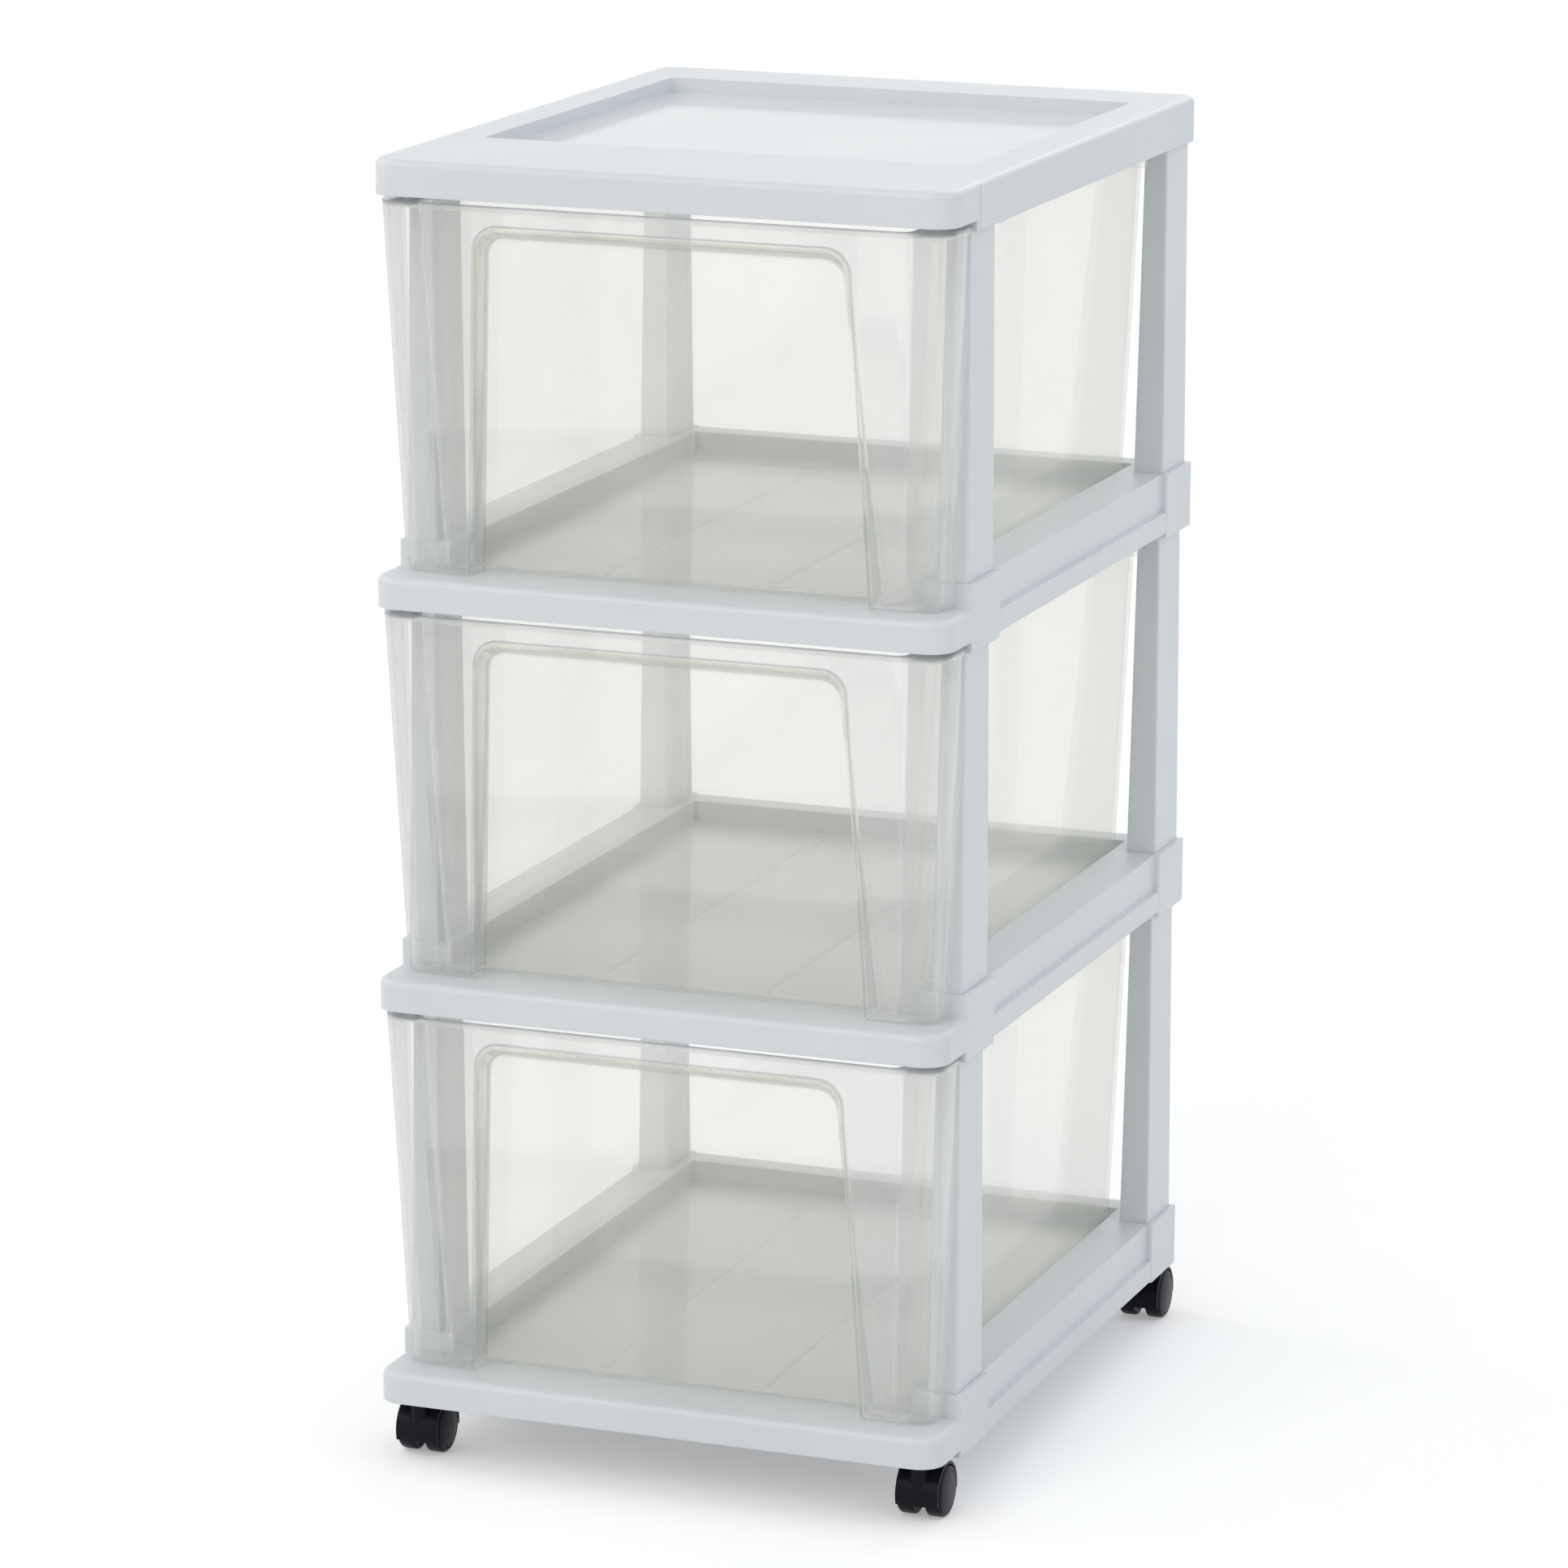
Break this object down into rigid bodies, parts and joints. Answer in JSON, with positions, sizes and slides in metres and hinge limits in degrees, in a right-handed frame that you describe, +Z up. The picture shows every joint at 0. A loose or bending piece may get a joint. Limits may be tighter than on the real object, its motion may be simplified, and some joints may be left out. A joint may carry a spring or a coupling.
{
  "type": "rolling drawer cart",
  "caption": "Rolling storage cart: stacked white plastic shelf frames on corner posts, clear pull-out drawers, a shallow tray in the top and swivelling casters.",
  "frame": {"origin": "on the floor, below the middle of the overall box", "axes": "+Z up, +X to the right as seen from the front, -Y towards the front, where the drawers open"},
  "size_m": [0.297, 0.3928, 0.657],
  "materials": {
    "white_plastic": "satin",
    "clear_plastic": "translucent satin",
    "black_plastic": "satin",
    "steel": "plain"
  },
  "bodies": {
    "frame": {"top_cover": "white_plastic", "upper_shelf": "white_plastic", "lower_shelf": "white_plastic", "base_frame": "white_plastic", "lower_front_left_post": "white_plastic", "lower_front_right_post": "white_plastic", "lower_rear_left_post": "white_plastic", "lower_rear_right_post": "white_plastic", "middle_front_left_post": "white_plastic", "middle_front_right_post": "white_plastic", "middle_rear_left_post": "white_plastic", "middle_rear_right_post": "white_plastic", "upper_front_left_post": "white_plastic", "upper_front_right_post": "white_plastic", "upper_rear_left_post": "white_plastic", "upper_rear_right_post": "white_plastic", "front_left_caster_stem": "steel", "front_right_caster_stem": "steel", "rear_left_caster_stem": "steel", "rear_right_caster_stem": "steel"},
    "lower_drawer": {"lower_drawer": "clear_plastic"},
    "middle_drawer": {"middle_drawer": "clear_plastic"},
    "upper_drawer": {"upper_drawer": "clear_plastic"},
    "front_left_caster": {"front_left_caster_hood": "black_plastic", "front_left_caster_axle": "steel"},
    "front_left_caster_outer_wheel": {"front_left_caster_outer_wheel": "black_plastic"},
    "front_left_caster_inner_wheel": {"front_left_caster_inner_wheel": "black_plastic"},
    "front_right_caster": {"front_right_caster_hood": "black_plastic", "front_right_caster_axle": "steel"},
    "front_right_caster_outer_wheel": {"front_right_caster_outer_wheel": "black_plastic"},
    "front_right_caster_inner_wheel": {"front_right_caster_inner_wheel": "black_plastic"},
    "rear_left_caster": {"rear_left_caster_hood": "black_plastic", "rear_left_caster_axle": "steel"},
    "rear_left_caster_outer_wheel": {"rear_left_caster_outer_wheel": "black_plastic"},
    "rear_left_caster_inner_wheel": {"rear_left_caster_inner_wheel": "black_plastic"},
    "rear_right_caster": {"rear_right_caster_hood": "black_plastic", "rear_right_caster_axle": "steel"},
    "rear_right_caster_outer_wheel": {"rear_right_caster_outer_wheel": "black_plastic"},
    "rear_right_caster_inner_wheel": {"rear_right_caster_inner_wheel": "black_plastic"}
  },
  "joints": [
    {"name": "lower_drawer_slide", "type": "slide", "parent": "frame", "child": "lower_drawer", "axis": [0, -1, 0], "range_m": [0, 0.257]},
    {"name": "middle_drawer_slide", "type": "slide", "parent": "frame", "child": "middle_drawer", "axis": [0, -1, 0], "range_m": [0, 0.257]},
    {"name": "upper_drawer_slide", "type": "slide", "parent": "frame", "child": "upper_drawer", "axis": [0, -1, 0], "range_m": [0, 0.257]},
    {"name": "front_left_caster_swivel", "type": "hinge", "parent": "frame", "child": "front_left_caster", "pos_m": [-0.133, -0.1764, 0.0284], "axis": [0, 0, 1], "continuous": true},
    {"name": "front_left_caster_outer_wheel_spin", "type": "hinge", "parent": "front_left_caster", "child": "front_left_caster_outer_wheel", "pos_m": [-0.133, -0.1664, 0.013], "axis": [1, 0, 0], "continuous": true},
    {"name": "front_left_caster_inner_wheel_spin", "type": "hinge", "parent": "front_left_caster", "child": "front_left_caster_inner_wheel", "pos_m": [-0.133, -0.1664, 0.013], "axis": [1, 0, 0], "continuous": true},
    {"name": "front_right_caster_swivel", "type": "hinge", "parent": "frame", "child": "front_right_caster", "pos_m": [0.133, -0.1764, 0.0284], "axis": [0, 0, 1], "continuous": true},
    {"name": "front_right_caster_outer_wheel_spin", "type": "hinge", "parent": "front_right_caster", "child": "front_right_caster_outer_wheel", "pos_m": [0.133, -0.1664, 0.013], "axis": [1, 0, 0], "continuous": true},
    {"name": "front_right_caster_inner_wheel_spin", "type": "hinge", "parent": "front_right_caster", "child": "front_right_caster_inner_wheel", "pos_m": [0.133, -0.1664, 0.013], "axis": [1, 0, 0], "continuous": true},
    {"name": "rear_left_caster_swivel", "type": "hinge", "parent": "frame", "child": "rear_left_caster", "pos_m": [-0.1356, 0.1716, 0.0284], "axis": [0, 0, 1], "continuous": true},
    {"name": "rear_left_caster_outer_wheel_spin", "type": "hinge", "parent": "rear_left_caster", "child": "rear_left_caster_outer_wheel", "pos_m": [-0.1356, 0.1816, 0.013], "axis": [1, 0, 0], "continuous": true},
    {"name": "rear_left_caster_inner_wheel_spin", "type": "hinge", "parent": "rear_left_caster", "child": "rear_left_caster_inner_wheel", "pos_m": [-0.1356, 0.1816, 0.013], "axis": [1, 0, 0], "continuous": true},
    {"name": "rear_right_caster_swivel", "type": "hinge", "parent": "frame", "child": "rear_right_caster", "pos_m": [0.1356, 0.1716, 0.0284], "axis": [0, 0, 1], "continuous": true},
    {"name": "rear_right_caster_outer_wheel_spin", "type": "hinge", "parent": "rear_right_caster", "child": "rear_right_caster_outer_wheel", "pos_m": [0.1356, 0.1816, 0.013], "axis": [1, 0, 0], "continuous": true},
    {"name": "rear_right_caster_inner_wheel_spin", "type": "hinge", "parent": "rear_right_caster", "child": "rear_right_caster_inner_wheel", "pos_m": [0.1356, 0.1816, 0.013], "axis": [1, 0, 0], "continuous": true}
  ]
}
